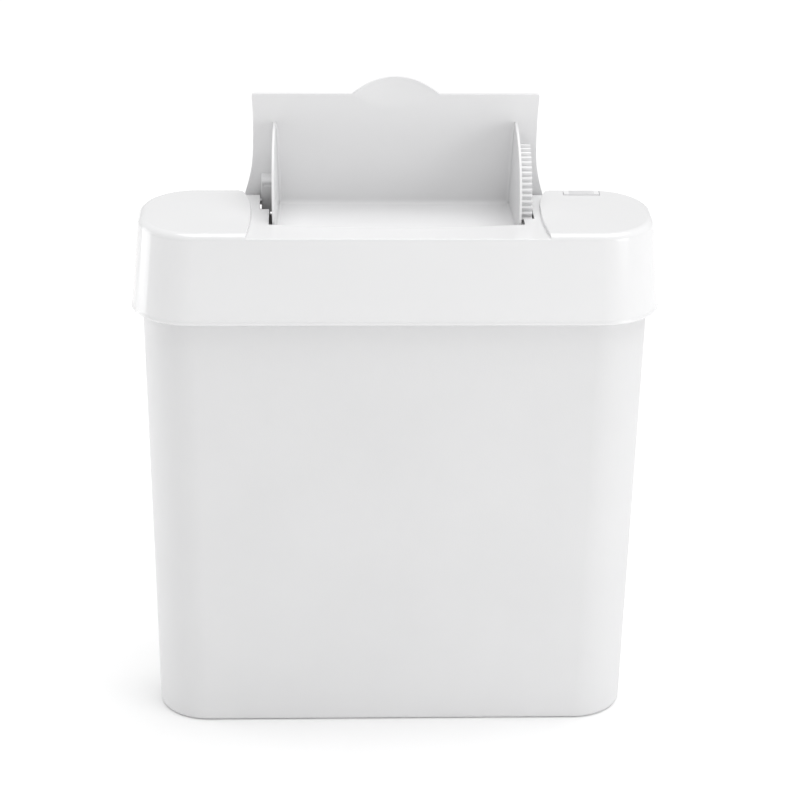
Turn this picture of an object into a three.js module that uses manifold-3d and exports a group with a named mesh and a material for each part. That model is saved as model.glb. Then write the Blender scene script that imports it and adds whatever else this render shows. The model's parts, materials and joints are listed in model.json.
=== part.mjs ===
// Free-standing pet-waste bin: a tapered tub, a lift-off lid and a tray flap with a damped hinge.
// Millimetres, +Z up, origin at the middle of the footprint. +Y is the rear, +X the right-hand side.
// The flap stands open. Its own pieces are drawn shut, about the hinge axis, and turned up as one group.
import * as THREE from "three";
import { mergeVertices } from "three/addons/utils/BufferGeometryUtils.js";
import Module from "manifold-3d";

const wasm = await Module();
wasm.setup();

// ---- driving dimensions ----
const LID_TOP = 521;                                   // height of the lid's shoulders
const SKIRT_BOTTOM = 433;                              // lower edge of the lid's skirt
const LID_PLAN_TOP = { w: 484, d: 130, r: 54 };        // lid outline at the top, before rounding
const LID_PLAN_BOTTOM = { w: 500, d: 140, r: 58 };     // lid outline at the skirt's lower edge
const LID_ROUND = 7;                                   // rounding of the lid's top edge
const LID_WALL = 2.5;
const SADDLE_DROP = 4;                                 // saddle below the shoulders
const TUB_BASE = { w: 466, d: 110, r: 50 };            // tub outline on the ground
const TUB_AT_SKIRT = { w: 479.5, d: 125, r: 52 };      // tub outline level with the skirt's edge
const TUB_RIM = 452;                                   // height of the tub's rim
const TUB_WALL = 2.4;
const TUB_FLOOR = 3;                                   // thickness of the tub's floor
const RIM_BAND = { out: 2.4, high: 4.5, step: 7 };     // thicker band around the tub's rim
const GAP = 0.3;                                       // clearance between touching pieces

const HINGE_Y = 58;                                    // hinge axis, close to the rear edge
const HINGE_Z = 511;
const OPEN_ANGLE = 80;                                 // degrees from shut to open
const PLATE_UNDER = 6.3;                               // flap plate above the hinge axis, shut
const PLATE_THICK = 3.4;
const PLATE_LENGTH = 111.5;                            // hinge axis to the flap's front edge
const PLATE_REAR = 8;                                  // hinge axis to the flap's rear edge
const TRAY_RADIUS = 82;                                // side plates, from the hinge axis
const TRAY_HALF = 111.2;                               // inside of the tray at the fold
const TRAY_FLARE = 0.03;                               // outward lean of the side plates
const TRAY_WALL = 2.4;
const FLOOR_DROP = 5.5;                                // tray floor below the hinge axis, open
const FLOOR_BOW = 9;                                   // floor's front edge bows out at the middle
const TAB = { halfWidth: 41, reach: 14.6, rise: 6, wall: 2.2 };

const GEAR = { module: 1.75, teeth: 74, first: -5.51, count: 17, x0: 117.3, width: 10.7, rim: 53 };
const PINION = { teeth: 12, angle: GEAR.first - 360 / GEAR.teeth };
const GEAR_TIP = GEAR.module * (GEAR.teeth / 2 + 0.95);
const BACKLASH = 0.3;

const PIN_RADIUS = 2.5;
const BUSH_RADIUS = 4;
const BARREL = { inner: 130.3, outer: 148, radius: 5.7 };   // bearing barrels, from the middle plane
const LUG = { inner: 115.5, outer: 127.5, front: 26.5, half: 6, heel: 8 };
const CHUTE = { half: 119.8, left: -128.8, right: 129.9, lugFront: 17, clear: 1.3 };
const PAD = { x: 137, half: 7.5, y0: 64.3, y1: 65.6, high: 2.4 };
const NOTCH = { halfWidth: 149, floor: 500, deepHalf: 119.5, deepFloor: 495 };

const SCREW = { head: 2.6, headHigh: 1.8, shank: 1.25 };
const SCREW_PILOT = 1.5;                               // radius of a hole that a screw bites into
const SCREW_CLEARANCE = 1.6;                           // radius of a hole that a screw passes through

const LOCK = {
  x: 180, front: 45.5, rear: 62.5, half: 17.5, travel: 5, stem: 8.8, screw: 6.5, boltHalf: 7, noseZ: 440.3,
};
const KEEPER_SCREW_LENGTH = 6;
const KEEPER = { y0: 56, y1: 60, z0: 445.6, z1: 452, screwY: 57.9, screwZ: 449 };

const rad = THREE.MathUtils.degToRad;

// ---- solids ----
function solid(geometry) {
  const bare = geometry.index ? geometry.toNonIndexed() : geometry.clone();
  bare.deleteAttribute("normal");
  bare.deleteAttribute("uv");
  const merged = mergeVertices(bare, 1e-4);
  const mesh = new wasm.Mesh({
    numProp: 3,
    vertProperties: new Float32Array(merged.attributes.position.array),
    triVerts: new Uint32Array(merged.index.array),
  });
  return new wasm.Manifold(mesh);
}

function toGeometry(manifold) {
  const mesh = manifold.getMesh();
  const geometry = new THREE.BufferGeometry();
  geometry.setAttribute("position", new THREE.BufferAttribute(mesh.vertProperties, 3));
  geometry.setIndex(new THREE.BufferAttribute(mesh.triVerts, 1));
  geometry.computeVertexNormals();
  return geometry;
}

function box(x0, x1, y0, y1, z0, z1) {
  const geometry = new THREE.BoxGeometry(x1 - x0, y1 - y0, z1 - z0);
  geometry.translate((x0 + x1) / 2, (y0 + y1) / 2, (z0 + z1) / 2);
  return solid(geometry);
}

// cylinder along X
function rod(radius, x0, x1, y, z, segments = 32) {
  const geometry = new THREE.CylinderGeometry(radius, radius, x1 - x0, segments);
  geometry.rotateZ(Math.PI / 2);
  geometry.translate((x0 + x1) / 2, y, z);
  return solid(geometry);
}

// cylinder along Z
function post(radius, x, y, z0, z1, segments = 20) {
  const geometry = new THREE.CylinderGeometry(radius, radius, z1 - z0, segments);
  geometry.rotateX(Math.PI / 2);
  geometry.translate(x, y, (z0 + z1) / 2);
  return solid(geometry);
}

// cylinder along Y
function drill(radius, x, z, y0, y1, segments = 16) {
  const geometry = new THREE.CylinderGeometry(radius, radius, y1 - y0, segments);
  geometry.translate(x, (y0 + y1) / 2, z);
  return solid(geometry);
}

// plan outline raised between two heights
function prism(points, z0, z1) {
  const shape = new THREE.Shape(points.map(([x, y]) => new THREE.Vector2(x, y)));
  const geometry = new THREE.ExtrudeGeometry(shape, { depth: z1 - z0, bevelEnabled: false });
  geometry.translate(0, 0, z0);
  return solid(geometry);
}

// outline in the (forward, up) plane of the hinge, thickened along X
function slab(points, x0, x1) {
  const shape = new THREE.Shape(points.map(([f, u]) => new THREE.Vector2(-f, u)));
  const geometry = new THREE.ExtrudeGeometry(shape, { depth: x1 - x0, bevelEnabled: false });
  geometry.applyMatrix4(new THREE.Matrix4().set(0, 0, 1, x0, 1, 0, 0, 0, 0, 1, 0, 0, 0, 0, 0, 1));
  return solid(geometry);
}

const CORNER_STEPS = 9;

function roundedOutline({ w, d, r }) {
  const points = [];
  const centres = [[1, 1], [-1, 1], [-1, -1], [1, -1]];
  centres.forEach(([sx, sy], quarter) => {
    for (let step = 0; step <= CORNER_STEPS; step++) {
      const angle = (quarter + step / CORNER_STEPS) * Math.PI / 2;
      const x = sx * (w / 2 - r) + r * Math.cos(angle);
      const y = sy * (d / 2 - r) + r * Math.sin(angle);
      points.push(new THREE.Vector2(x, y));
    }
  });
  return points;
}

// closed skin through rounded outlines stacked up Z
function loft(levels) {
  const rings = levels.map((level) => roundedOutline(level));
  const count = rings[0].length;
  const positions = [];
  rings.forEach((ring, i) => ring.forEach((p) => positions.push(p.x, p.y, levels[i].z)));
  const index = [];
  for (let i = 0; i + 1 < rings.length; i++) {
    for (let k = 0; k < count; k++) {
      const a = i * count + k;
      const b = i * count + (k + 1) % count;
      index.push(a, b, b + count, a, b + count, a + count);
    }
  }
  const top = (rings.length - 1) * count;
  for (const [a, b, c] of THREE.ShapeUtils.triangulateShape(rings[0], [])) {
    index.push(a, c, b, top + a, top + b, top + c);
  }
  const geometry = new THREE.BufferGeometry();
  geometry.setAttribute("position", new THREE.Float32BufferAttribute(positions, 3));
  geometry.setIndex(index);
  return solid(geometry);
}

function blend(a, b, t) {
  return { w: a.w + (b.w - a.w) * t, d: a.d + (b.d - a.d) * t, r: a.r + (b.r - a.r) * t };
}

function inset(plan, by) {
  return { w: plan.w - 2 * by, d: plan.d - 2 * by, r: plan.r - by };
}

const materials = {
  tub: { color: 0xe9e9ea, roughness: 0.62, metalness: 0 },
  cover: { color: 0xf4f4f5, roughness: 0.18, metalness: 0 },
  flap: { color: 0xececed, roughness: 0.3, metalness: 0 },
  acetal: { color: 0xe2e2de, roughness: 0.4, metalness: 0 },
  darkPlastic: { color: 0x2b2c2e, roughness: 0.5, metalness: 0 },
  rubber: { color: 0x55565a, roughness: 0.85, metalness: 0 },
  steel: { color: 0xb9bcc0, roughness: 0.3, metalness: 1 },
};

function piece(name, manifold, material) {
  const mesh = new THREE.Mesh(toGeometry(manifold), new THREE.MeshStandardMaterial(materials[material]));
  mesh.name = name;
  return mesh;
}

function joined(solids) {
  return solids.reduce((sum, next) => sum.add(next));
}

// ---- tub ----
const tubPlan = (z) => blend(TUB_BASE, TUB_AT_SKIRT, z / SKIRT_BOTTOM);

function binBody() {
  const outer = loft([
    { ...inset(tubPlan(0), 3.2), z: 0 },
    { ...inset(tubPlan(1), 1), z: 1 },
    { ...tubPlan(4), z: 4 },
    { ...tubPlan(TUB_RIM - RIM_BAND.step), z: TUB_RIM - RIM_BAND.step },
    { ...inset(tubPlan(TUB_RIM), -RIM_BAND.out), z: TUB_RIM - RIM_BAND.high },
    { ...inset(tubPlan(TUB_RIM), -RIM_BAND.out), z: TUB_RIM },
  ]);
  const inner = loft([
    { ...inset(tubPlan(TUB_FLOOR), TUB_WALL + 2), z: TUB_FLOOR },
    { ...inset(tubPlan(TUB_FLOOR + 4), TUB_WALL), z: TUB_FLOOR + 4 },
    { ...inset(tubPlan(TUB_RIM + 2), TUB_WALL), z: TUB_RIM + 2 },
  ]);
  const pilotEnd = KEEPER.screwY + KEEPER_SCREW_LENGTH + 0.4;
  const pilot = drill(SCREW_PILOT, LOCK.x, KEEPER.screwZ, KEEPER.y1, pilotEnd);
  return piece("bin_body", outer.subtract(inner).subtract(pilot), "tub");
}

// ---- lid cover ----
const lidPlan = (z) => blend(LID_PLAN_TOP, LID_PLAN_BOTTOM, (LID_TOP - z) / (LID_TOP - SKIRT_BOTTOM));
const SADDLE_TOP = LID_TOP - SADDLE_DROP;
const SADDLE_UNDER = SADDLE_TOP - LID_WALL;

// half-width of the saddle, waisted between its front and rear edges
const saddleCurve = new THREE.CatmullRomCurve3(
  [[-75, 143.5], [-62, 140.6], [-28, 137.4], [0, 136.9], [27, 138.2], [45, 141.6], [66, 148.4], [75, 152]]
    .map(([y, half]) => new THREE.Vector3(half, y, 0)),
);

function saddleOutline(extra) {
  const right = saddleCurve.getPoints(22).map((p) => [p.x + extra, p.y]);
  const left = right.map(([x, y]) => [-x, y]).reverse();
  return [...right, ...left];
}

// chute opening: the front edge bows forward, and each side steps out around its hinge piece
function chuteOutline() {
  const front = HINGE_Y - TRAY_RADIUS - CHUTE.clear;
  const gearFront = HINGE_Y - GEAR_TIP - 2 * GAP;
  const { half, left, right, lugFront } = CHUTE;
  const points = [[NOTCH.halfWidth, 80], [-NOTCH.halfWidth, 80], [-NOTCH.halfWidth, HINGE_Y]];
  points.push([left, HINGE_Y], [left, lugFront], [-half, lugFront]);
  for (let i = 0; i <= 12; i++) {
    const t = -1 + i / 6;
    points.push([half * t, front - FLOOR_BOW * (1 - t * t)]);
  }
  points.push([half, gearFront], [right, gearFront], [right, HINGE_Y], [NOTCH.halfWidth, HINGE_Y]);
  return points;
}

// upper halves of the two bearing barrels, with the blocks that the caps screw to
function bearingSeat(side) {
  const [x0, x1] = side > 0 ? [BARREL.inner, BARREL.outer] : [-BARREL.outer, -BARREL.inner];
  const lump = box(x0, x1, 44, HINGE_Y, HINGE_Z - BARREL.radius, SADDLE_UNDER + 0.5)
    .add(rod(BARREL.radius, x0, x1, HINGE_Y, HINGE_Z));
  const bore = rod(BUSH_RADIUS + GAP, x0 - 1, x1 + 1, HINGE_Y, HINGE_Z);
  return { lump: lump.subtract(bore), bore, x0, x1 };
}

function screwSpots(side) {
  return [[side * 134.8, 49], [side * 143.4, 49]];
}

// ribs that stand on the tub's rim and carry the lid
function restingRibs() {
  const low = TUB_RIM + GAP;
  const ribs = [];
  for (const x of [-160, -80, 80, 160]) {
    ribs.push(box(x - 1.5, x + 1.5, -67, -55, low, SADDLE_UNDER + 1));
  }
  for (const x of [-155, 155]) {
    ribs.push(box(x - 1.5, x + 1.5, 55, 67, low, SADDLE_UNDER + 1));
  }
  for (const y of [-25, 25]) {
    ribs.push(box(-246, -230, y - 1.5, y + 1.5, low, SADDLE_UNDER + 1));
    ribs.push(box(230, 246, y - 1.5, y + 1.5, low, SADDLE_UNDER + 1));
  }
  return joined(ribs);
}

function lidOuter() {
  const levels = [{ ...LID_PLAN_BOTTOM, z: SKIRT_BOTTOM }];
  for (const angle of [0, 22.5, 45, 67.5, 90]) {
    const z = LID_TOP - LID_ROUND * (1 - Math.sin(rad(angle)));
    levels.push({ ...inset(lidPlan(z), LID_ROUND * (1 - Math.cos(rad(angle)))), z });
  }
  return loft(levels);
}

// recess for the lock slider, and the slot that its stem runs in
function lockSlot() {
  const { x, front, rear, half, travel } = LOCK;
  const recess = box(x - half, x + half, front, rear, LID_TOP - 1.2, LID_TOP + 3);
  const slot = box(x - 4.6, x + 4.6, front + 2.6, front + 10.2 + travel, LID_TOP - 9, LID_TOP);
  return recess.add(slot);
}

function lidCover() {
  const outer = lidOuter();
  const inner = loft([
    { ...inset(lidPlan(SKIRT_BOTTOM - 3), LID_WALL), z: SKIRT_BOTTOM - 3 },
    { ...inset(lidPlan(LID_TOP - 8), LID_WALL), z: LID_TOP - 8 },
    { ...inset(lidPlan(LID_TOP - LID_WALL), LID_WALL + 4), z: LID_TOP - LID_WALL },
  ]);
  const skin = outer.intersect(prism(saddleOutline(LID_WALL), SADDLE_UNDER, LID_TOP + 1));
  const dip = prism(saddleOutline(0), SADDLE_TOP, LID_TOP + 3);
  let lid = outer.subtract(inner).add(skin).add(restingRibs().intersect(outer));
  lid = lid.subtract(dip).subtract(prism(chuteOutline(), SADDLE_UNDER - 3, LID_TOP + 3));
  lid = lid.subtract(box(-NOTCH.halfWidth, NOTCH.halfWidth, HINGE_Y, 80, NOTCH.floor, LID_TOP + 3));
  lid = lid.subtract(box(-NOTCH.deepHalf, NOTCH.deepHalf, HINGE_Y, 80, NOTCH.deepFloor, LID_TOP + 3));
  for (const side of [-1, 1]) {
    const { lump, bore, x0, x1 } = bearingSeat(side);
    const upper = lump.intersect(box(x0 - 1, x1 + 1, 40, 70, HINGE_Z + GAP / 2, LID_TOP));
    const holes = screwSpots(side).map(([x, y]) => (
      post(SCREW_PILOT, x, y, HINGE_Z - 8, SADDLE_UNDER - 0.6, 12)
    ));
    lid = lid.add(upper).subtract(bore).subtract(joined(holes));
  }
  for (const [x, y] of damperScrewSpots()) {
    lid = lid.add(post(4, x, y, SADDLE_UNDER, LID_TOP - 1));
    lid = lid.subtract(post(SCREW_PILOT, x, y, 500, LID_TOP - 3, 12));
  }
  return piece("lid_cover", lid.subtract(lockSlot()), "cover");
}

// ---- hinge pieces fixed to the lid ----
function bearingCap(name, side) {
  const { lump, x0, x1 } = bearingSeat(side);
  const lower = lump.intersect(box(x0 - 1, x1 + 1, 40, 70, 500, HINGE_Z - GAP / 2));
  const holes = screwSpots(side).map(([x, y]) => post(SCREW_CLEARANCE, x, y, 500, HINGE_Z + 1, 12));
  return piece(name, lower.subtract(joined(holes)), "acetal");
}

function hingeBush(name, side) {
  const [x0, x1] = side > 0 ? [BARREL.inner + 0.4, BARREL.outer] : [-BARREL.outer, -BARREL.inner - 0.4];
  const bore = rod(PIN_RADIUS + GAP, x0 - 1, x1 + 1, HINGE_Y, HINGE_Z, 24);
  return piece(name, rod(BUSH_RADIUS, x0, x1, HINGE_Y, HINGE_Z, 24).subtract(bore), "acetal");
}

function screw(x, y, z, length) {
  const head = post(SCREW.head, x, y, z - SCREW.headHigh, z, 12);
  return head.add(post(SCREW.shank, x, y, z - 0.5, z + length, 10));
}

function capScrews() {
  const bottom = HINGE_Z - BARREL.radius - GAP;
  const spots = [...screwSpots(-1), ...screwSpots(1)];
  return spots.map(([x, y], i) => piece(`cap_screw_${i + 1}`, screw(x, y, bottom, 7.4), "steel"));
}

function stopPad(name, side) {
  const { x, half, y0, y1, high } = PAD;
  const bottom = NOTCH.floor + GAP;
  return piece(name, box(side * x - half, side * x + half, y0, y1, bottom, NOTCH.floor + high), "rubber");
}

// ---- flap, drawn shut about the hinge axis: forward is -Y, up is +Z ----
const flapEdge = new THREE.CatmullRomCurve3(
  [[-8, 147.2], [8, 142.6], [18, 140], [32, 137.2], [46, 135.8], [65, 135.2], [90, 135.2], [107, 135.9]]
    .map(([forward, half]) => new THREE.Vector3(half, -forward, 0)),
);

function flapPlate() {
  const side = flapEdge.getPoints(18).map((p) => [p.x, p.y]);
  side.push([135.4, -(PLATE_LENGTH - 1.6)], [133.4, -PLATE_LENGTH]);
  const other = side.map(([x, y]) => [-x, y]).reverse();
  return prism([...side, ...other].reverse(), PLATE_UNDER, PLATE_UNDER + PLATE_THICK);
}

// dished finger tab: a thin half-shell that rises over the plate's front edge
function dome(wide, long, high) {
  const geometry = new THREE.SphereGeometry(1, 36, 18);
  geometry.scale(wide, long, high);
  geometry.translate(0, -PLATE_LENGTH, PLATE_UNDER);
  return solid(geometry);
}

function withTab(plate) {
  const { halfWidth, reach, rise, wall } = TAB;
  const above = box(-60, 60, -PLATE_LENGTH - 30, -PLATE_LENGTH + 30, PLATE_UNDER, PLATE_UNDER + 30);
  const shell = dome(halfWidth, reach, rise + wall).intersect(above);
  const dish = dome(halfWidth - 2.4, reach - 2.2, rise);
  return plate.add(shell).subtract(dish);
}

// a point given in the open pose, brought back to the shut drawing
function shut(forward, up) {
  const a = -rad(OPEN_ANGLE);
  return [forward * Math.cos(a) - up * Math.sin(a), forward * Math.sin(a) + up * Math.cos(a)];
}

// leans a side plate outwards as it leaves the fold
function flare(manifold, side) {
  const geometry = toGeometry(manifold);
  const k = side * TRAY_FLARE;
  geometry.applyMatrix4(new THREE.Matrix4().set(1, -k, -k, 0, 0, 1, 0, 0, 0, 0, 1, 0, 0, 0, 0, 1));
  return solid(geometry);
}

function sidePlate(side) {
  const outline = [[-6.6, PLATE_UNDER + 1]];
  const top = Math.asin((PLATE_UNDER + 1) / TRAY_RADIUS);
  const low = -rad(OPEN_ANGLE) - Math.asin((FLOOR_DROP + 1) / TRAY_RADIUS);
  for (let i = 0; i <= 16; i++) {
    const angle = top + (low - top) * i / 16;
    outline.push([TRAY_RADIUS * Math.cos(angle), TRAY_RADIUS * Math.sin(angle)]);
  }
  outline.push(shut(-7, -FLOOR_DROP - 1));
  const [x0, x1] = side > 0 ? [TRAY_HALF, TRAY_HALF + TRAY_WALL] : [-TRAY_HALF - TRAY_WALL, -TRAY_HALF];
  return flare(slab(outline, x0, x1), side);
}

// tray floor, drawn flat in the open pose and turned back to the shut one
function trayFloor() {
  const points = [[-TRAY_HALF - 1.6, 9.5], [-TRAY_HALF - 3.6, -TRAY_RADIUS + 2]];
  for (let i = 1; i < 12; i++) {
    const t = -1 + i / 6;
    points.push([(TRAY_HALF + 3.4) * t, -TRAY_RADIUS - (FLOOR_BOW - 1) * (1 - t * t)]);
  }
  points.push([TRAY_HALF + 3.6, -TRAY_RADIUS + 2], [TRAY_HALF + 1.6, 9.5]);
  const floor = toGeometry(prism(points, -FLOOR_DROP - TRAY_WALL + 0.2, -FLOOR_DROP));
  floor.rotateX(rad(OPEN_ANGLE));
  return solid(floor);
}

function hingeLug() {
  const { inner, outer, front, half, heel } = LUG;
  const outline = [[-half, PLATE_UNDER + 1], [-heel, 0], [-heel, -heel], [half, -half], [front - 2, -half]];
  outline.push([front, -half + 2], [front, PLATE_UNDER + 1]);
  return slab(outline, -outer, -inner);
}

function flapTray() {
  let tray = withTab(flapPlate());
  tray = joined([tray, sidePlate(-1), sidePlate(1), trayFloor(), hingeLug()]);
  const bore = rod(PIN_RADIUS + GAP, -130, -LUG.inner - 0.2, 0, 0, 24);
  return piece("flap_tray", tray.subtract(bore), "flap");
}

// ---- gears ----
const involute = (a) => Math.tan(a) - a;
const PRESSURE = rad(20);

// angles and radii up one flank of a tooth, from its middle line
function toothFlank(teeth, points) {
  const pitch = GEAR.module * teeth / 2;
  const base = pitch * Math.cos(PRESSURE);
  const tip = pitch + GEAR.module * 0.95;
  const halfAtPitch = Math.PI / (2 * teeth) - BACKLASH / 4 / pitch;
  const start = Math.max(base, pitch - GEAR.module);
  const flank = [];
  for (let i = 0; i < points; i++) {
    const r = start + (tip - start) * i / (points - 1);
    const angle = halfAtPitch + involute(PRESSURE) - involute(Math.acos(Math.min(1, base / r)));
    flank.push([r, angle]);
  }
  return flank;
}

// outline points of one tooth whose middle line is at the given angle
function toothPoints(teeth, middle) {
  const root = GEAR.module * (teeth / 2 - 1.25);
  const flank = toothFlank(teeth, 4);
  const falling = [[root, flank[0][1]], ...flank].map(([r, a]) => [r, middle - a]);
  const rising = [[root, flank[0][1]], ...flank].map(([r, a]) => [r, middle + a]).reverse();
  return [...falling, ...rising].map(([r, a]) => [r * Math.cos(a), r * Math.sin(a)]);
}

function gearSegment() {
  const shutFirst = GEAR.first - OPEN_ANGLE;
  const step = 360 / GEAR.teeth;
  const last = shutFirst + step * (GEAR.count - 1);
  const outline = [];
  for (let i = 0; i < GEAR.count; i++) {
    outline.push(...toothPoints(GEAR.teeth, rad(shutFirst + step * i)));
  }
  for (let i = 0; i <= 10; i++) {
    const angle = rad(last + 1.6 + (shutFirst - last - 3.2) * i / 10);
    outline.push([GEAR.rim * Math.cos(angle), GEAR.rim * Math.sin(angle)]);
  }
  const x1 = GEAR.x0 + GEAR.width;
  const web = [[3, -6.4], [-6, -2], [-6, 5.4], [8, 5.6], [57, -16], [19, -55.5], [1.5, -57]];
  let gear = slab(outline, GEAR.x0, x1).add(slab(web, GEAR.x0, GEAR.x0 + 3));
  gear = gear.add(rod(5.6, GEAR.x0, x1, 0, 0, 28));
  const window = [[16, -11], [40, -18], [20, -42], [6, -45.5], [8.5, -18]];
  gear = gear.subtract(slab(window, GEAR.x0 - 1, x1));
  return piece("gear_segment", gear.subtract(rod(PIN_RADIUS + GAP, GEAR.x0 - 1, x1 + 1, 0, 0, 24)), "flap");
}

function hingePin(name, side) {
  const [x0, x1] = side > 0 ? [GEAR.x0 + 0.4, BARREL.outer - 0.5] : [-BARREL.outer + 0.5, -LUG.inner - 0.6];
  return piece(name, rod(PIN_RADIUS, x0, x1, 0, 0, 24), "steel");
}

// ---- damper under the right shoulder ----
const centreDistance = GEAR.module * (GEAR.teeth + PINION.teeth) / 2;
const DAMPER_Y = HINGE_Y - centreDistance * Math.cos(rad(PINION.angle));
const DAMPER_Z = HINGE_Z + centreDistance * Math.sin(rad(PINION.angle));
const DAMPER = { x0: 131.2, x1: 142, radius: 12.5, cap: 1.8, shaft: 2.5 };

function damperPinion() {
  const outline = [];
  const towardsHinge = 180 + PINION.angle;
  for (let i = 0; i < PINION.teeth; i++) {
    outline.push(...toothPoints(PINION.teeth, rad(towardsHinge + 360 / PINION.teeth * (i + 0.5))));
  }
  const wheel = slab(outline, GEAR.x0 + 0.4, GEAR.x0 + GEAR.width + 0.2);
  const hole = rod(DAMPER.shaft + GAP, 100, 140, 0, 0, 20);
  const mesh = piece("damper_pinion", wheel.subtract(hole), "acetal");
  mesh.position.set(0, DAMPER_Y, DAMPER_Z);
  return mesh;
}

function damperRotor() {
  const shaft = rod(DAMPER.shaft, GEAR.x0 + 0.6, DAMPER.x1 - DAMPER.cap - 0.6, DAMPER_Y, DAMPER_Z, 20);
  const drum = rod(9, DAMPER.x0 + 3.6, DAMPER.x1 - DAMPER.cap - 0.8, DAMPER_Y, DAMPER_Z, 28);
  return piece("damper_rotor", shaft.add(drum), "darkPlastic");
}

function damperHousing() {
  const { x0, x1, radius, cap } = DAMPER;
  const cup = rod(radius, x0, x1 - cap - GAP, DAMPER_Y, DAMPER_Z, 36);
  const chamber = rod(radius - 2, x0 + 3.2, x1, DAMPER_Y, DAMPER_Z, 32);
  const hole = rod(DAMPER.shaft + GAP, x0 - 1, x1, DAMPER_Y, DAMPER_Z, 20);
  const seat = rod(5, x0 + 1.6, x1, DAMPER_Y, DAMPER_Z, 24);
  return piece("damper_housing", cup.subtract(chamber).subtract(hole).subtract(seat), "darkPlastic");
}

function damperSeal() {
  const ring = rod(4.6, DAMPER.x0 + 1.8, DAMPER.x0 + 3.1, DAMPER_Y, DAMPER_Z, 24);
  const hole = rod(DAMPER.shaft + GAP, DAMPER.x0, DAMPER.x0 + 4, DAMPER_Y, DAMPER_Z, 20);
  return piece("damper_seal", ring.subtract(hole), "rubber");
}

function damperCap() {
  const disc = rod(DAMPER.radius, DAMPER.x1 - DAMPER.cap, DAMPER.x1, DAMPER_Y, DAMPER_Z, 36);
  return piece("damper_cap", disc, "darkPlastic");
}

// angle bracket: a foot under the saddle and a cheek with a hole around the housing
const BRACKET = { x0: 132.6, x1: 135.6, foot: 152, y0: DAMPER_Y - 17, y1: DAMPER_Y + 17 };

function damperBracket() {
  const top = SADDLE_UNDER - GAP;
  const cheek = box(BRACKET.x0, BRACKET.x1, BRACKET.y0, BRACKET.y1, DAMPER_Z - 17, top);
  const foot = box(BRACKET.x0, BRACKET.foot, BRACKET.y0, BRACKET.y1, top - 2.4, top);
  const ring = rod(DAMPER.radius + GAP, 130, 155, DAMPER_Y, DAMPER_Z, 36);
  const holes = damperScrewSpots().map(([x, y]) => post(SCREW_CLEARANCE, x, y, top - 5, top + 1, 12));
  return piece("damper_bracket", cheek.add(foot).subtract(ring).subtract(joined(holes)), "steel");
}

function damperScrewSpots() {
  return [[147, BRACKET.y0 + 6], [147, BRACKET.y1 - 6]];
}

function damperScrews() {
  const under = SADDLE_UNDER - GAP - 2.4 - GAP;
  const spots = damperScrewSpots();
  return spots.map(([x, y], i) => piece(`damper_screw_${i + 1}`, screw(x, y, under, 5.2), "steel"));
}

// ---- lid lock ----
function lockSlider() {
  const { x, front, half } = LOCK;
  const hold = front + LOCK.screw;
  const wide = half - 2 * GAP;
  const plate = box(x - wide, x + wide, front + 2 * GAP, front + 11.4, LID_TOP - 0.9, LID_TOP + 0.8);
  const grips = [2.4, 5.2, 8].map((y) => (
    box(x - 12, x + 12, front + y, front + y + 1.2, LID_TOP, LID_TOP + 1.6)
  ));
  const stem = box(x - 4, x + 4, front + 3.2, front + 9.8, LID_TOP - LOCK.stem, LID_TOP);
  const hole = post(SCREW.shank + 0.05, x, hold, LID_TOP - 10, LID_TOP - 3, 12);
  return piece("lock_slider", joined([plate, stem, ...grips]).subtract(hole), "flap");
}

function lockBolt() {
  const { x, front, boltHalf, noseZ } = LOCK;
  const top = LID_TOP - LOCK.stem - GAP;
  const flange = box(x - boltHalf, x + boltHalf, front - 0.5, front + 10.5, top - 2.4, top);
  const leg = box(x - boltHalf, x + boltHalf, front - 0.5, front + 2.5, noseZ, top);
  const nose = box(x - boltHalf, x + boltHalf, front - 0.5, front + 9.3, noseZ, noseZ + 4.4);
  const hole = post(SCREW_CLEARANCE, x, front + LOCK.screw, top - 4, top + 1, 12);
  return piece("lock_bolt", joined([flange, leg, nose]).subtract(hole), "acetal");
}

function lockScrew() {
  const under = LID_TOP - LOCK.stem - GAP - 2.4 - GAP;
  return piece("lock_screw", screw(LOCK.x, LOCK.front + LOCK.screw, under, 6.4), "steel");
}

// ledge inside the tub's rear wall that the bolt slides under
function lockKeeper() {
  const { y0, y1, z0, z1, screwY, screwZ } = KEEPER;
  const block = box(LOCK.x - LOCK.boltHalf, LOCK.x + LOCK.boltHalf, y0, y1, z0, z1);
  const counterbore = drill(SCREW.head + GAP, LOCK.x, screwZ, y0 - 1, screwY + 0.2);
  const hole = drill(SCREW_CLEARANCE, LOCK.x, screwZ, y0, y1 + 1);
  return piece("lock_keeper", block.subtract(counterbore).subtract(hole), "acetal");
}

function keeperScrew() {
  const mesh = piece("keeper_screw", screw(0, 0, 0, KEEPER_SCREW_LENGTH), "steel");
  mesh.rotation.x = -Math.PI / 2;
  mesh.position.set(LOCK.x, KEEPER.screwY, KEEPER.screwZ);
  return mesh;
}

// ---- the whole bin ----
const flap = new THREE.Group();
flap.position.set(0, HINGE_Y, HINGE_Z);
flap.rotation.x = -rad(OPEN_ANGLE);
flap.add(flapTray(), gearSegment(), hingePin("hinge_pin_left", -1), hingePin("hinge_pin_right", 1));

const bin = new THREE.Group();
bin.add(binBody(), lidCover(), flap);
bin.add(bearingCap("bearing_cap_left", -1), bearingCap("bearing_cap_right", 1), ...capScrews());
bin.add(hingeBush("hinge_bush_left", -1), hingeBush("hinge_bush_right", 1));
bin.add(stopPad("stop_pad_left", -1), stopPad("stop_pad_right", 1));
bin.add(damperBracket(), ...damperScrews(), damperHousing(), damperSeal(), damperCap());
bin.add(damperRotor(), damperPinion());
bin.add(lockSlider(), lockBolt(), lockScrew(), lockKeeper(), keeperScrew());

export default bin;
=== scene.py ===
"""Looks of the pet-waste bin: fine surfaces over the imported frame, materials, light and camera.

Shapes are worked out in millimetres in the frame's own axes and turned into metres when a mesh is made.
"""
import json
import math

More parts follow.
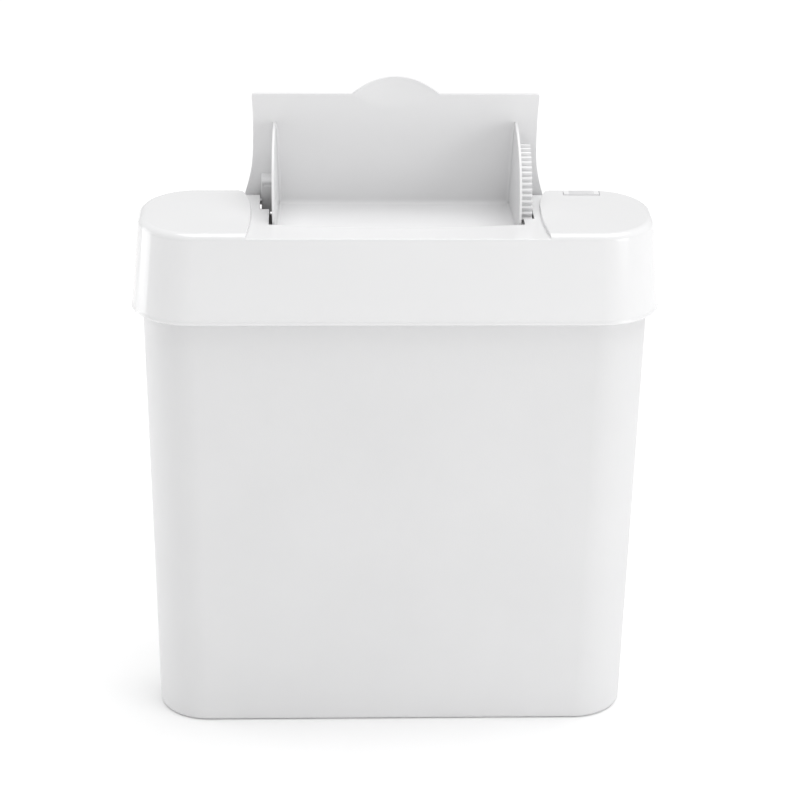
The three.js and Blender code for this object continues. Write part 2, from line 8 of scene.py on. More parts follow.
import bmesh
import bpy
from mathutils import Matrix, Vector


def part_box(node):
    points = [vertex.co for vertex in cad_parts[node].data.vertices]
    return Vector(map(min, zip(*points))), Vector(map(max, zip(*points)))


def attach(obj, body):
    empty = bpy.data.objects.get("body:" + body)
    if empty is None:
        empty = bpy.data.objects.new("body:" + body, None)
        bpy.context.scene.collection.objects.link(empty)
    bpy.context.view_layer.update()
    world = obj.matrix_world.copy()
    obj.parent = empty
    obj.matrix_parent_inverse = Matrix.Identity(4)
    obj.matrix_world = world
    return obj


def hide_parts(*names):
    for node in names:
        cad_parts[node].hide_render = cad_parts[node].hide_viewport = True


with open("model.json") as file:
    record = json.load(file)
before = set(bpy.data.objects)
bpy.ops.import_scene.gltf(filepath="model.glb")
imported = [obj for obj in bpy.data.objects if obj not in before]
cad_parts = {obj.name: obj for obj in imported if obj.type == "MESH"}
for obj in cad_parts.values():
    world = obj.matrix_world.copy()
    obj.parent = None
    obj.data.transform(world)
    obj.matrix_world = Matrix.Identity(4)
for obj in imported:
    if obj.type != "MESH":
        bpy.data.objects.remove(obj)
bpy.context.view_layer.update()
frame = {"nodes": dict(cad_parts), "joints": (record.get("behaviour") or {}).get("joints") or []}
MM = 0.001

# ---- sizes read from the frame ----


def box_mm(node):
    low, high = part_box(node)
    return low / MM, high / MM


hinge = next(j for j in frame["joints"] if j["name"] == "flap_hinge")
HINGE_Y, HINGE_Z = (value / MM for value in hinge["pos_m"][1:])
OPEN_ANGLE = math.radians(hinge["range_deg"][1])
LID_LOW, LID_HIGH = box_mm("lid_cover")
BUSH_LOW, BUSH_HIGH = box_mm("hinge_bush_left")
SLIDER_LOW, SLIDER_HIGH = box_mm("lock_slider")

# ---- sizes of the moulded surfaces ----
LID_TOP = LID_HIGH.z
SKIRT_BOTTOM = LID_LOW.z
LID_PLAN_TOP = (484, 130, 54)          # width, depth and corner radius at the top
LID_PLAN_BOTTOM = (500, 140, 58)
LID_ROUND = 7
LID_WALL = 2.5
SADDLE_DROP = 4                        # saddle below the shoulders
SADDLE_TOP = LID_TOP - SADDLE_DROP
SADDLE_UNDER = SADDLE_TOP - LID_WALL
TUB_BASE = (466, 110, 50)
TUB_AT_SKIRT = (479.5, 125, 52)
TUB_RIM = box_mm("bin_body")[1].z
TUB_WALL = 2.4
TUB_FOOT = 4.5                         # rounding where the tub meets the ground
TUB_FLOOR = 3
RIM_OUT = 2.4                          # band around the tub's rim, proud of the wall
RIM_HIGH = 4.5
RIM_STEP = 7
GAP = 0.3                              # clearance between pieces
CORNER_STEPS = 30

PLATE_UNDER = 6.3                      # flap plate above the hinge axis, shut
PLATE_THICK = 3.4
PLATE_LENGTH = 111.5                   # hinge axis to the flap's front edge
TRAY_RADIUS = 82                       # side plates, from the hinge axis
TRAY_HALF = 111.2                      # inside of the tray at the fold
TRAY_FLARE = 0.03                      # outward lean of the side plates
TRAY_WALL = 2.4
FLOOR_DROP = 5.5                       # tray floor below the hinge axis, open
FLOOR_BOW = 9                          # floor's front edge bows out at the middle
LUG_INNER = 115.5                      # hinge lug, from the middle plane
LUG_OUTER = 127.5
PIN_BORE = 2.8
TAB_HALF = 41                          # finger tab: half-width, reach past the plate and back into it
TAB_OUT = 14.6
TAB_IN = 17
TAB_RISE = 7
TAB_STEPS = 24
FILLET = 3.2                           # inside corners of the tray, and of its fold
FOLD_FILLET = 4.5
EDGE = 0.5                             # rounding of outside edges

GEAR_MODULE = 1.75
GEAR_TEETH = 74
GEAR_TIP = GEAR_MODULE * (GEAR_TEETH / 2 + 0.95)
NOTCH_HALF = 149                       # rear notch that the open flap's rear edge drops into
NOTCH_FLOOR = 500
DEEP_HALF = 119.5
DEEP_FLOOR = 495
CHUTE_LEFT = -128.8
CHUTE_RIGHT = 129.9
CHUTE_FRONT_HALF = 119.8
CHUTE_CLEAR = 1.3                      # gap in front of the tray
LUG_FRONT_Y = 17
GEAR_FRONT_Y = HINGE_Y - GEAR_TIP - 2 * GAP
BARREL_TOP = SADDLE_TOP - 1.2
SCREW_PILOT = 1.5

# ---- mesh helpers ----


def mesh_object(name, points, faces):
    mesh = bpy.data.meshes.new(name)
    mesh.from_pydata([Vector(p) * MM for p in points], [], faces)
    made = bpy.data.objects.new(name, mesh)
    bpy.context.scene.collection.objects.link(made)
    return made


def outline(plan, z):
    """Rounded rectangle at height z, counter-clockwise from above."""
    w, d, r = plan
    ring = []
    for quarter, (sx, sy) in enumerate([(1, 1), (-1, 1), (-1, -1), (1, -1)]):
        for step in range(CORNER_STEPS + 1):
            a = (quarter + step / CORNER_STEPS) * math.pi / 2
            ring.append((sx * (w / 2 - r) + r * math.cos(a), sy * (d / 2 - r) + r * math.sin(a), z))
    return ring


def loft(name, rings):
    count = len(rings[0])
    points = [p for ring in rings for p in ring]
    faces = [list(reversed(range(count)))]
    for i in range(len(rings) - 1):
        for k in range(count):
            a, b = i * count + k, i * count + (k + 1) % count
            faces.append([a, b, b + count, a + count])
    top = (len(rings) - 1) * count
    faces.append([top + k for k in range(count)])
    return mesh_object(name, points, faces)


def prism(name, plan, z0, z1):
    return loft(name, [[(x, y, z0) for x, y in plan], [(x, y, z1) for x, y in plan]])


def slab(name, side, x0, x1):
    """Outline in the hinge's (forward, up) plane, thickened along X."""
    return loft(name, [[(x0, -f, u) for f, u in side], [(x1, -f, u) for f, u in side]])


def block(name, low, high):
    plan = [(low[0], low[1]), (high[0], low[1]), (high[0], high[1]), (low[0], high[1])]
    return prism(name, plan, low[2], high[2])


def rod(name, radius, x0, x1, y, z, steps=48):
    turn = [2 * math.pi * k / steps for k in range(steps)]
    side = [(y + radius * math.cos(a), z + radius * math.sin(a)) for a in turn]
    return loft(name, [[(x0, v, w) for v, w in side], [(x1, v, w) for v, w in side]])


def post(name, radius, x, y, z0, z1, steps=24):
    turn = [2 * math.pi * k / steps for k in range(steps)]
    return prism(name, [(x + radius * math.cos(a), y + radius * math.sin(a)) for a in turn], z0, z1)


def baked(target):
    """Applies every modifier on the object."""
    bpy.context.view_layer.update()
    made = target.evaluated_get(bpy.context.evaluated_depsgraph_get())
    mesh = bpy.data.meshes.new_from_object(made)
    target.modifiers.clear()
    target.data = mesh
    return target


def tidy(target, weld=1e-6):
    bm = bmesh.new()
    bm.from_mesh(target.data)
    bmesh.ops.remove_doubles(bm, verts=bm.verts, dist=weld)
    bmesh.ops.recalc_face_normals(bm, faces=bm.faces)
    bm.to_mesh(target.data)
    bm.free()
    return target


def flattened(target):
    """Joins neighbouring faces that lie in one plane."""
    bm = bmesh.new()
    bm.from_mesh(target.data)
    bmesh.ops.dissolve_limit(bm, angle_limit=math.radians(0.2), verts=bm.verts, edges=bm.edges)
    bm.to_mesh(target.data)
    bm.free()
    return target


def combine(target, tool, operation):
    tidy(target)
    tidy(tool)
    change = target.modifiers.new("combine", "BOOLEAN")
    change.operation = operation
    change.solver = "EXACT"
    change.object = tool
    baked(target)
    bpy.data.objects.remove(tool)
    return target


def add(target, *tools):
    for tool in tools:
        combine(target, tool, "UNION")
    return target


def cut(target, *tools):
    for tool in tools:
        combine(target, tool, "DIFFERENCE")
    return target


def blend(a, b, t):
    return tuple(p + (q - p) * t for p, q in zip(a, b))


def inset(plan, by):
    return (plan[0] - 2 * by, plan[1] - 2 * by, plan[2] - by)


def spline(points, steps):
    """Smooth curve through (position, value) points, uniform Catmull-Rom."""
    ends = [points[0], *points, points[-1]]
    curve = []
    for i in range(len(points) - 1):
        p0, p1, p2, p3 = ends[i:i + 4]
        for k in range(steps):
            t = k / steps
            point = []
            for a, b, c, d in zip(p0, p1, p2, p3):
                square = (2 * a - 5 * b + 4 * c - d) * t ** 2
                cube = (3 * b - a - 3 * c + d) * t ** 3
                point.append(0.5 * (2 * b + (c - a) * t + square + cube))
            curve.append(tuple(point))
    return [*curve, points[-1]]


def soften(target, width=EDGE, angle=32, segments=3):
    """Rounds the edges and shades the whole piece smooth."""
    for face in target.data.polygons:
        face.use_smooth = True
    bevel = target.modifiers.new("edge", "BEVEL")
    bevel.width = width * MM
    bevel.segments = segments
    bevel.limit_method = "ANGLE"
    bevel.angle_limit = math.radians(angle)
    bevel.use_clamp_overlap = False
    bevel.miter_outer = "MITER_ARC"
    bevel.harden_normals = False
    normals = target.modifiers.new("normals", "WEIGHTED_NORMAL")
    normals.mode = "FACE_AREA"
    normals.weight = 100
    normals.keep_sharp = True
    return target


# ---- materials ----


def plastic(name, colour, rough, grain, bump, mottling=0.015, coat=0.0):
    """Moulded plastic: fine surface grain in metres, a little colour mottling and uneven gloss."""
    material = bpy.data.materials.new(name)
    material.use_nodes = True
    nodes, links = material.node_tree.nodes, material.node_tree.links
    shader = nodes["Principled BSDF"]
    shader.inputs["IOR"].default_value = 1.5
    shader.inputs["Coat Weight"].default_value = coat
    shader.inputs["Coat Roughness"].default_value = 0.06
    place = nodes.new("ShaderNodeTexCoord")

    def noise(scale, detail):
        texture = nodes.new("ShaderNodeTexNoise")
        texture.inputs["Scale"].default_value = scale
        texture.inputs["Detail"].default_value = detail
        links.new(place.outputs["Object"], texture.inputs["Vector"])
        return texture

    def spread(source, low, high):
        scale = nodes.new("ShaderNodeMapRange")
        scale.inputs["From Min"].default_value = 0.3
        scale.inputs["From Max"].default_value = 0.7
        scale.inputs["To Min"].default_value = low
        scale.inputs["To Max"].default_value = high
        links.new(source.outputs["Fac"], scale.inputs["Value"])
        return scale.outputs["Result"]

    tint = nodes.new("ShaderNodeMix")
    tint.data_type = "RGBA"
    tint.inputs["A"].default_value = (*[c * (1 - mottling) for c in colour], 1)
    tint.inputs["B"].default_value = (*[min(1, c * (1 + mottling)) for c in colour], 1)
    links.new(spread(noise(9, 3), 0, 1), tint.inputs["Factor"])
    links.new(tint.outputs["Result"], shader.inputs["Base Color"])
    links.new(spread(noise(35, 2), rough * 0.88, rough * 1.12), shader.inputs["Roughness"])
    surface = nodes.new("ShaderNodeBump")
    surface.inputs["Strength"].default_value = bump
    surface.inputs["Distance"].default_value = 0.0002
    links.new(noise(1 / grain, 2).outputs["Fac"], surface.inputs["Height"])
    links.new(surface.outputs["Normal"], shader.inputs["Normal"])
    return material


def metal(name, colour, rough):
    material = plastic(name, colour, rough, 0.0006, 0.08, 0.05)
    material.node_tree.nodes["Principled BSDF"].inputs["Metallic"].default_value = 1
    return material


TUB_WHITE = plastic("tub_white", (0.775, 0.775, 0.78), 0.45, 0.0009, 0.35)
COVER_WHITE = plastic("cover_gloss_white", (0.84, 0.84, 0.845), 0.16, 0.004, 0.02, 0.008, 0.3)
FLAP_WHITE = plastic("flap_white", (0.85, 0.85, 0.855), 0.34, 0.0012, 0.02, 0.006)
ACETAL = plastic("acetal_white", (0.74, 0.74, 0.70), 0.38, 0.0015, 0.06)
DAMPER_BLACK = plastic("damper_black", (0.03, 0.03, 0.034), 0.42, 0.0007, 0.2, 0.1)
RUBBER = plastic("rubber_grey", (0.09, 0.09, 0.10), 0.8, 0.0006, 0.3, 0.12)
STEEL = metal("steel", (0.58, 0.59, 0.60), 0.28)


def finished(target, material, body, slot, *nodes):
    target.data.materials.clear()
    target.data.materials.append(material)
    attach(target, body)
    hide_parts(*nodes)
    return target


# ---- tub ----


def tub_plan(z, by=0):
    return inset(blend(TUB_BASE, TUB_AT_SKIRT, z / SKIRT_BOTTOM), by)


def tub():
    rings = []
    for k in range(7):
        a = math.pi / 2 * k / 6
        by = TUB_FOOT * (1 - math.sin(a))
        rings.append(outline(tub_plan(0, by), TUB_FOOT * (1 - math.cos(a))))
    rings.append(outline(tub_plan(TUB_RIM - RIM_STEP), TUB_RIM - RIM_STEP))
    rings.append(outline(tub_plan(TUB_RIM, -RIM_OUT), TUB_RIM - RIM_HIGH))
    rings.append(outline(tub_plan(TUB_RIM, -RIM_OUT), TUB_RIM))
    shell = loft("tub_shell", rings)
    rings = []
    for k in range(6):
        a = math.pi / 2 * k / 5
        by = TUB_WALL + 4 * (1 - math.sin(a))
        rings.append(outline(tub_plan(TUB_FLOOR, by), TUB_FLOOR + 4 * (1 - math.cos(a))))
    rings.append(outline(tub_plan(TUB_RIM + 2, TUB_WALL), TUB_RIM + 2))
    cut(shell, loft("hollow", rings))
    soften(shell, 0.6)
    return finished(shell, TUB_WHITE, "tub", "tub_white", "bin_body")


# ---- lid ----


def lid_plan(z, by=0):
    return inset(blend(LID_PLAN_TOP, LID_PLAN_BOTTOM, (LID_TOP - z) / (LID_TOP - SKIRT_BOTTOM)), by)


# edge between shoulder and saddle: (Y, distance from the middle plane), front to rear
SEAM = [
    (-75, 143.5), (-62, 140.6), (-28, 137.4), (0, 136.9),
    (27, 138.2), (45, 141.6), (66, 148.4), (75, 152),
]


def saddle_plan(extra=0):
    right = [(half + extra, y) for y, half in spline(SEAM, 8)]
    return right + [(-x, y) for x, y in reversed(right)]


def chute_plan():
    """Chute opening: a bowed front edge, and a step out around the lug and around the gear."""
    front = HINGE_Y - TRAY_RADIUS - CHUTE_CLEAR
    rear = HINGE_Y + 2
    plan = [(CHUTE_LEFT, rear), (CHUTE_LEFT, LUG_FRONT_Y), (-CHUTE_FRONT_HALF, LUG_FRONT_Y)]
    for i in range(41):
        t = -1 + i / 20
        plan.append((CHUTE_FRONT_HALF * t, front - FLOOR_BOW * (1 - t * t)))
    return [*plan, (CHUTE_FRONT_HALF, GEAR_FRONT_Y), (CHUTE_RIGHT, GEAR_FRONT_Y), (CHUTE_RIGHT, rear)]


def lid_skin():
    """Outer surface: rolled lower edge, drafted skirt and rounded top edge."""
    rings = []
    for z, by in [(0, 0.3), (0.3, -0.3), (1.1, -0.75), (2.2, -0.75), (3.2, -0.3), (3.8, 0)]:
        rings.append(outline(lid_plan(SKIRT_BOTTOM + z, by), SKIRT_BOTTOM + z))
    for k in range(11):
        a = math.pi / 2 * k / 10
        z = LID_TOP - LID_ROUND * (1 - math.sin(a))
        rings.append(outline(lid_plan(z, LID_ROUND * (1 - math.cos(a))), z))
    return loft("lid", rings)


def lid_hollow():
    levels = [(SKIRT_BOTTOM - 3, LID_WALL), (LID_TOP - 8, LID_WALL), (LID_TOP - LID_WALL, LID_WALL + 4)]
    return loft("hollow", [outline(lid_plan(z, by), z) for z, by in levels])


def resting_ribs():
    low, high = TUB_RIM + GAP, SADDLE_UNDER + 1
    spots = [(x - 1.5, -66, x + 1.5, -55) for x in (-160, -80, 80, 160)]
    spots += [(x - 1.5, 55, x + 1.5, 66) for x in (-155, 155)]
    spots += [(s * 238 - 6, y - 1.5, s * 238 + 6, y + 1.5) for s in (-1, 1) for y in (-25, 25)]
    return [block("rib", (x0, y0, low), (x1, y1, high)) for x0, y0, x1, y1 in spots]


def bearing_seats():
    seats = []
    for node in ("bearing_cap_left", "bearing_cap_right"):
        low, high = box_mm(node)
        split = HINGE_Z + GAP / 2
        seat = block("seat", (low.x, low.y, split), (high.x, HINGE_Y, SADDLE_UNDER + 0.5))
        barrel = rod("barrel", high.y - HINGE_Y, low.x, high.x, HINGE_Y, HINGE_Z)
        add(seat, cut(barrel, block("half", (low.x - 1, 40, 490), (high.x + 1, 70, split))))
        seats.append(cut(seat, block("flat", (low.x - 1, 40, BARREL_TOP), (high.x + 1, 70, LID_TOP))))
    return seats


def screw_holes():
    """Holes above the bearing caps' and the damper bracket's screws."""
    holes = []
    for node in [n for n in frame["nodes"] if n.startswith(("cap_screw", "damper_screw"))]:
        low, high = box_mm(node)
        centre = (low + high) / 2
        holes.append(post("hole", SCREW_PILOT, centre.x, centre.y, low.z, high.z + 0.8))
    return holes


def screw_bosses():
    bosses = []
    for node in [n for n in frame["nodes"] if n.startswith("damper_screw")]:
        low, high = box_mm(node)
        centre = (low + high) / 2
        bosses.append(post("boss", 4, centre.x, centre.y, SADDLE_UNDER, LID_TOP - 1))
    return bosses


def lock_cuts():
    """Recess for the lock slider, and the slot that its stem runs in."""
    x = (SLIDER_LOW.x + SLIDER_HIGH.x) / 2
    front = SLIDER_LOW.y - 2 * GAP
    half = (SLIDER_HIGH.x - SLIDER_LOW.x) / 2 + 2 * GAP
    recess = block("recess", (x - half, front, LID_TOP - 1.2), (x + half, front + 17, LID_TOP + 3))
    stem = block("stem_way", (x - 4.6, front + 2.6, LID_TOP - 9), (x + 4.6, front + 15.2, LID_TOP))
    return recess, stem


def lid():
    shell = cut(lid_skin(), lid_hollow())
    band = prism("band", saddle_plan(LID_WALL), SADDLE_UNDER, LID_TOP + 1)
    add(shell, combine(lid_skin(), band, "INTERSECT"))
    ribs = add(*resting_ribs())
    add(shell, combine(ribs, lid_skin(), "INTERSECT"))
    cut(shell, prism("dip", saddle_plan(), SADDLE_TOP, LID_TOP + 3))
    cut(shell, prism("chute", chute_plan(), SADDLE_UNDER - 3, LID_TOP + 3))
    cut(shell, block("notch", (-NOTCH_HALF, HINGE_Y, NOTCH_FLOOR), (NOTCH_HALF, 80, LID_TOP + 3)))
    cut(shell, block("deep_notch", (-DEEP_HALF, HINGE_Y + 3, DEEP_FLOOR), (DEEP_HALF, 80, LID_TOP + 3)))
    add(shell, *bearing_seats(), *screw_bosses())
    bush_radius = (BUSH_HIGH.y - BUSH_LOW.y) / 2 + GAP
    cut(shell, rod("bore", bush_radius, -148.5, -129.8, HINGE_Y, HINGE_Z))
    cut(shell, rod("bore", bush_radius, 129.8, 148.5, HINGE_Y, HINGE_Z))
    cut(shell, *screw_holes(), *lock_cuts())
    shell.name = "lid_cover_shell"
    soften(flattened(shell))
    return finished(shell, COVER_WHITE, "lid", "cover_gloss_white", "lid_cover")


# ---- flap, drawn shut about the hinge: forward is -Y, up is +Z ----
# side edge of the plate: (Y, distance from the middle plane), rear to front
FLAP_SIDE = [
    (8, 147.2), (-8, 142.6), (-18, 140), (-32, 137.2),
    (-46, 135.8), (-65, 135.2), (-90, 135.2), (-107, 135.9),
]


def shut(forward, up):
    """A point given in the open pose, brought back to the shut drawing."""
    c, s = math.cos(OPEN_ANGLE), math.sin(OPEN_ANGLE)
    return forward * c + up * s, up * c - forward * s


def tab_arc(x, sagitta):
    """Height of a circular arc over the tab's chord."""
    radius = (TAB_HALF ** 2 + sagitta ** 2) / (2 * sagitta)
    return math.sqrt(max(0, radius ** 2 - x ** 2)) - (radius - sagitta)


def flap_plate():
    side = [(half, y) for y, half in spline(FLAP_SIDE, 6)]
    side += [(135.9, -109.4), (135.4, -110.7), (134.4, -111.3), (133.2, -PLATE_LENGTH)]
    plan = side + [(-x, y) for x, y in reversed(side)]
    return prism("flap", list(reversed(plan)), PLATE_UNDER, PLATE_UNDER + PLATE_THICK)


def side_plate(side):
    top = math.asin((PLATE_UNDER + 1) / TRAY_RADIUS)
    low = -OPEN_ANGLE - math.asin((FLOOR_DROP + 1) / TRAY_RADIUS)
    turn = [top + (low - top) * i / 48 for i in range(49)]
    edge = [(TRAY_RADIUS * math.cos(a), TRAY_RADIUS * math.sin(a)) for a in turn]
    edge = [(-6.6, PLATE_UNDER + 1), *edge, shut(-7, -FLOOR_DROP - 1)]
    x0, x1 = (TRAY_HALF, TRAY_HALF + TRAY_WALL) if side > 0 else (-TRAY_HALF - TRAY_WALL, -TRAY_HALF)
    plate = slab("side", edge, x0, x1)
    for v in plate.data.vertices:
        v.co.x -= side * TRAY_FLARE * (v.co.y + v.co.z)
    return plate


def tray_floor():
    half = TRAY_HALF + 3.6
    plan = [(-half + 2, 9.5), (-half, 2 - TRAY_RADIUS)]
    for i in range(1, 40):
        t = -1 + i / 20
        plan.append(((half - 0.2) * t, -TRAY_RADIUS - (FLOOR_BOW - 1) * (1 - t * t)))
    plan += [(half, 2 - TRAY_RADIUS), (half - 2, 9.5)]
    floor = prism("floor", plan, -FLOOR_DROP - TRAY_WALL + 0.2, -FLOOR_DROP)
    floor.data.transform(Matrix.Rotation(OPEN_ANGLE, 4, "X"))
    return floor


def hinge_lug():
    """Lug on the left that the hinge pin goes through, with a shallow groove under its front end."""
    half, front, heel = 6, 26.5, 8
    edge = [(-half, PLATE_UNDER + 1), (-heel, 0), (-heel, -heel), (half, -half), (front - 2, -half)]
    edge += [(front, 2 - half), (front, PLATE_UNDER + 1)]
    lug = slab("lug", edge, -LUG_OUTER, -LUG_INNER)
    low = (1.5 - LUG_OUTER, 4.6 - front, -half - 1)
    groove = block("groove", low, (-LUG_INNER - 1.5, 7.4 - front, 0.7 - half))
    return cut(lug, groove)


def fillet_strip(stations, steps=8, overlap=0.8):
    """Concave strip along an inside corner.

    A station is its corner, its two wall directions and a radius.
    """
    rings = []
    for corner, a, b, radius in stations:
        corner, a, b = Vector(corner), Vector(a).normalized(), Vector(b).normalized()
        half = a.angle(b) / 2
        centre = corner + (a + b).normalized() * radius / math.sin(half)
        start = corner + a * radius / math.tan(half) - centre
        end = corner + b * radius / math.tan(half) - centre
        ring = [corner - (a + b) * overlap, centre + start - b * overlap]
        for i in range(steps + 1):
            towards = (start * (1 - i / steps) + end * i / steps).normalized()
            ring.append(centre + towards * (radius + 0.02))
        ring.append(centre + end - a * overlap)
        rings.append(ring)
    return loft("fillet", rings)


def opened(forward, up, x):
    """Point of the shut drawing for a place given in the open pose."""
    f, u = shut(forward, up)
    return x, -f, u


def tray_fillets():
    """Soft inside corners of the tray: two beside the plate, two beside the floor and the fold."""
    strips = []
    for side in (-1, 1):
        beside_plate = []
        beside_floor = []
        for step in range(13):
            f = -6 + 87 * step / 12
            x = side * (TRAY_HALF + TRAY_FLARE * (f - PLATE_UNDER))
            radius = FILLET * min(1, (TRAY_RADIUS - f) / 9) + 0.1
            beside_plate.append(((x, -f, PLATE_UNDER), (-side, 0, 0), (0, 0, -1), radius))
            f, u = shut(-5 + 85 * step / 12, -FLOOR_DROP)
            x = side * (TRAY_HALF + TRAY_FLARE * (f - u))
            wall = Vector(opened(0, 1, 0))
            beside_floor.append(((x, -f, u), (-side, 0, 0), wall, FILLET))
        strips += [fillet_strip(beside_plate), fillet_strip(beside_floor)]
    fold = -FLOOR_DROP / math.sin(OPEN_ANGLE) - PLATE_UNDER / math.tan(OPEN_ANGLE)
    along_floor = opened(1, 0, 0)
    across = []
    for x in (-TRAY_HALF - 1, TRAY_HALF + 1):
        across.append(((x, -fold, PLATE_UNDER), (0, -1, 0), along_floor, FOLD_FILLET))
    return [*strips, fillet_strip(across)]


def tab_xs():
    return [TAB_HALF * math.sin(math.pi / 2 * (k / TAB_STEPS - 1)) for k in range(2 * TAB_STEPS + 1)]


def scoop(x, t):
    """Depth of the finger scoop, from its inner edge at t = 0 to its lip at t = 1."""
    across = max(0, 1 - (x / TAB_HALF) ** 2)
    return TAB_RISE * across ** 1.2 * math.sin(math.pi / 2 * t) ** 2


def tab_dish():
    """Finger tab: two skins that rise smoothly out of the plate, and the lip between them."""
    along = 18
    points = []
    for level in (PLATE_UNDER, PLATE_UNDER + PLATE_THICK):
        for x in tab_xs():
            for j in range(along + 1):
                t = j / along
                reach = -tab_arc(x, TAB_IN) * (1 - t) + tab_arc(x, TAB_OUT) * t
                thinner = 1.1 * (level > PLATE_UNDER) * t * tab_arc(x, TAB_OUT) / TAB_OUT
                points.append((x, -PLATE_LENGTH - reach, level + scoop(x, t) - thinner))
    row = along + 1
    skin = (2 * TAB_STEPS + 1) * row
    faces = []
    for i in range(2 * TAB_STEPS):
        for j in range(along):
            a = i * row + j
            faces.append([a, a + 1, a + row + 1, a + row])
            faces.append([skin + a, skin + a + row, skin + a + row + 1, skin + a + 1])
        end = i * row + along
        faces.append([end, skin + end, skin + end + row, end + row])
    return mesh_object("dish", points, faces)


def with_tab(tray):
    """Cuts a lens out of the plate's front edge and welds the dish to the cut."""
    lens = [(TAB_HALF, -PLATE_LENGTH - 4), (-TAB_HALF, -PLATE_LENGTH - 4)]
    lens += [(x, tab_arc(x, TAB_IN) - PLATE_LENGTH) for x in tab_xs()]
    cut(tray, prism("lens", lens, PLATE_UNDER - 2, PLATE_UNDER + PLATE_THICK + 2))
    bm = bmesh.new()
    bm.from_mesh(tray.data)

    def on_cut(vert):
        x, y = abs(vert.co.x / MM), vert.co.y / MM
        off = y - tab_arc(min(TAB_HALF, x), TAB_IN) + PLATE_LENGTH
        return x < TAB_HALF + 0.01 and abs(off) < 0.02

    wall = [f for f in bm.faces if abs(f.normal.z) < 0.5 and all(on_cut(v) for v in f.verts)]
    bmesh.ops.delete(bm, geom=wall, context="FACES")
    dish = tab_dish()
    bm.from_mesh(dish.data)
    bpy.data.objects.remove(dish)
    bmesh.ops.remove_doubles(bm, verts=bm.verts, dist=0.02 * MM)
    bmesh.ops.recalc_face_normals(bm, faces=bm.faces)
    bm.to_mesh(tray.data)
    bm.free()
    return tray


def into_place(target):
    """Turns a piece drawn shut about the hinge to where the open flap holds it."""
    place = Matrix.Translation(Vector((0, HINGE_Y, HINGE_Z)) * MM)
    target.data.transform(place @ Matrix.Rotation(-OPEN_ANGLE, 4, "X"))
    return target


def flap():
    tray = add(flap_plate(), side_plate(-1), side_plate(1), tray_floor(), *tray_fillets(), hinge_lug())
    cut(tray, rod("bore", PIN_BORE, -130, -LUG_INNER - 0.2, 0, 0))
    into_place(with_tab(tray))
    tray.name = "flap_tray_moulding"
    soften(tray)
    return finished(tray, FLAP_WHITE, "flap", "flap_white", "flap_tray")


# ---- CAD nodes that keep their shape ----


def dress(node, material, width, angle=32):
    target = frame["nodes"][node]
    target.data.materials.clear()
    target.data.materials.append(material)
    return soften(target, width, angle, 2)


def dress_nodes():
    for node in frame["nodes"]:
        if node in ("bin_body", "lid_cover", "flap_tray"):
            continue
        if node == "gear_segment":
            dress(node, FLAP_WHITE, 0.12, 25)
        elif node == "lock_slider":
            dress(node, FLAP_WHITE, 0.3)
        elif node.startswith(("bearing_cap", "hinge_bush", "damper_pinion", "lock_bolt")):
            dress(node, ACETAL, 0.2)
        elif node in ("damper_housing", "damper_cap", "damper_rotor"):
            dress(node, DAMPER_BLACK, 0.3)
        elif node.startswith(("damper_seal", "stop_pad")):
            dress(node, RUBBER, 0.2)
        else:
            dress(node, STEEL, 0.2)


# ---- studio ----


def area_light(name, place, target, size, power):
    light = bpy.data.lights.new(name, "AREA")
    light.shape = "RECTANGLE"
    light.size, light.size_y = size
    light.energy = power
    lamp = bpy.data.objects.new(name, light)
    lamp.location = place
    lamp.rotation_euler = (Vector(target) - Vector(place)).to_track_quat("-Z", "Y").to_euler()
    bpy.context.scene.collection.objects.link(lamp)
    return lamp


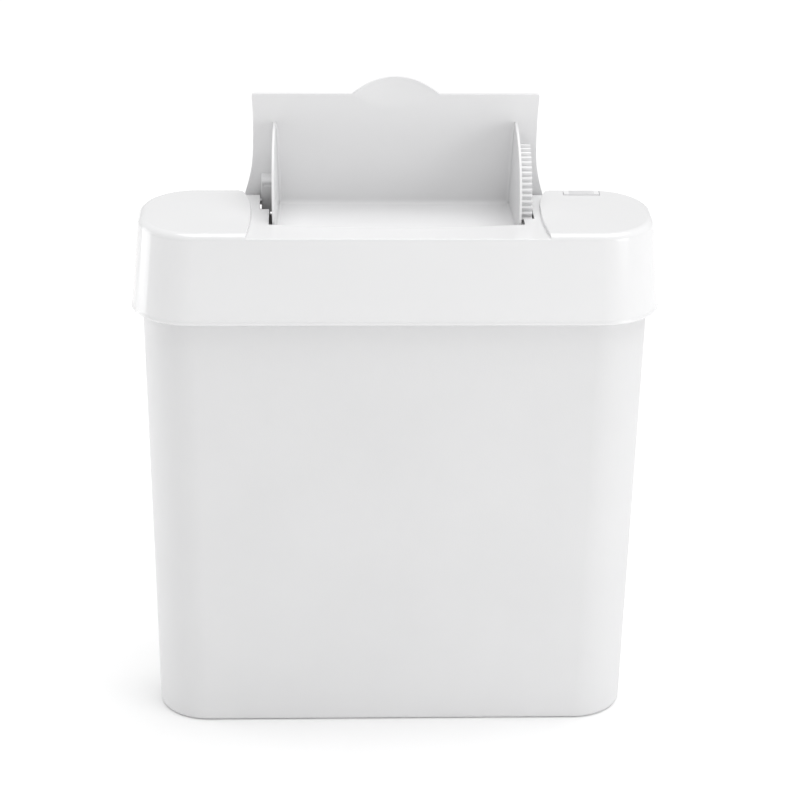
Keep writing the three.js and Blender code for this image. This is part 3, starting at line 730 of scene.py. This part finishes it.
def studio():
    far = 9000
    corners = [(-far, -far, 0), (far, -far, 0), (far, far, 0), (-far, far, 0)]
    floor = mesh_object("floor", corners, [[0, 1, 2, 3]])
    pale = bpy.data.materials.new("pale_floor")
    pale.use_nodes = True
    shader = pale.node_tree.nodes["Principled BSDF"]
    shader.inputs["Base Color"].default_value = (0.96, 0.96, 0.96, 1)
    shader.inputs["Roughness"].default_value = 0.9
    shader.inputs["Specular IOR Level"].default_value = 0.1
    floor.data.materials.append(pale)
    world = bpy.data.worlds.new("studio")
    world.use_nodes = True
    background = world.node_tree.nodes["Background"]
    background.inputs["Color"].default_value = (1, 1, 1, 1)
    background.inputs["Strength"].default_value = 0.545
    bpy.context.scene.world = world
    middle = (0, 0, 0.35)
    area_light("key_right", (1.05, -0.8, 0.55), middle, (0.5, 0.6), 2.5)
    area_light("rim_left", (-1.6, 0.5, 0.5), middle, (0.8, 1.0), 4.5)
    top = bpy.data.lights.new("top", "SUN")
    top.energy = 1.8
    top.angle = math.radians(56)
    lamp = bpy.data.objects.new("top", top)
    lamp.rotation_euler = (math.radians(1), math.radians(9), 0)
    bpy.context.scene.collection.objects.link(lamp)


# camera: place in metres, then pitch below the horizon, turn to the right and roll, in degrees
CAMERA_PLACE = (-0.0859, -2.300, 1.3454)
CAMERA_PITCH = 23.88
CAMERA_TURN = 2.29
CAMERA_ROLL = 0.8
CAMERA_LENS = 116.4
CAMERA_SENSOR = 36


def camera():
    data = bpy.data.cameras.new("camera")
    data.lens = CAMERA_LENS
    data.sensor_width = CAMERA_SENSOR
    data.clip_end = 50
    viewer = bpy.data.objects.new("camera", data)
    bpy.context.scene.collection.objects.link(viewer)
    turn, pitch, roll = (math.radians(a) for a in (CAMERA_TURN, CAMERA_PITCH, CAMERA_ROLL))
    ahead = Vector((math.sin(turn) * math.cos(pitch), math.cos(turn) * math.cos(pitch), -math.sin(pitch)))
    right = Vector((math.cos(turn), -math.sin(turn), 0))
    up = right.cross(ahead)
    across = right * math.cos(roll) + up * math.sin(roll)
    upward = up * math.cos(roll) - right * math.sin(roll)
    facing = Matrix((across, upward, -ahead)).transposed().to_4x4()
    viewer.matrix_world = Matrix.Translation(CAMERA_PLACE) @ facing
    bpy.context.scene.camera = viewer
    bpy.context.scene.view_settings.view_transform = "Standard"


camera()
studio()
tub()
lid()
flap()
dress_nodes()
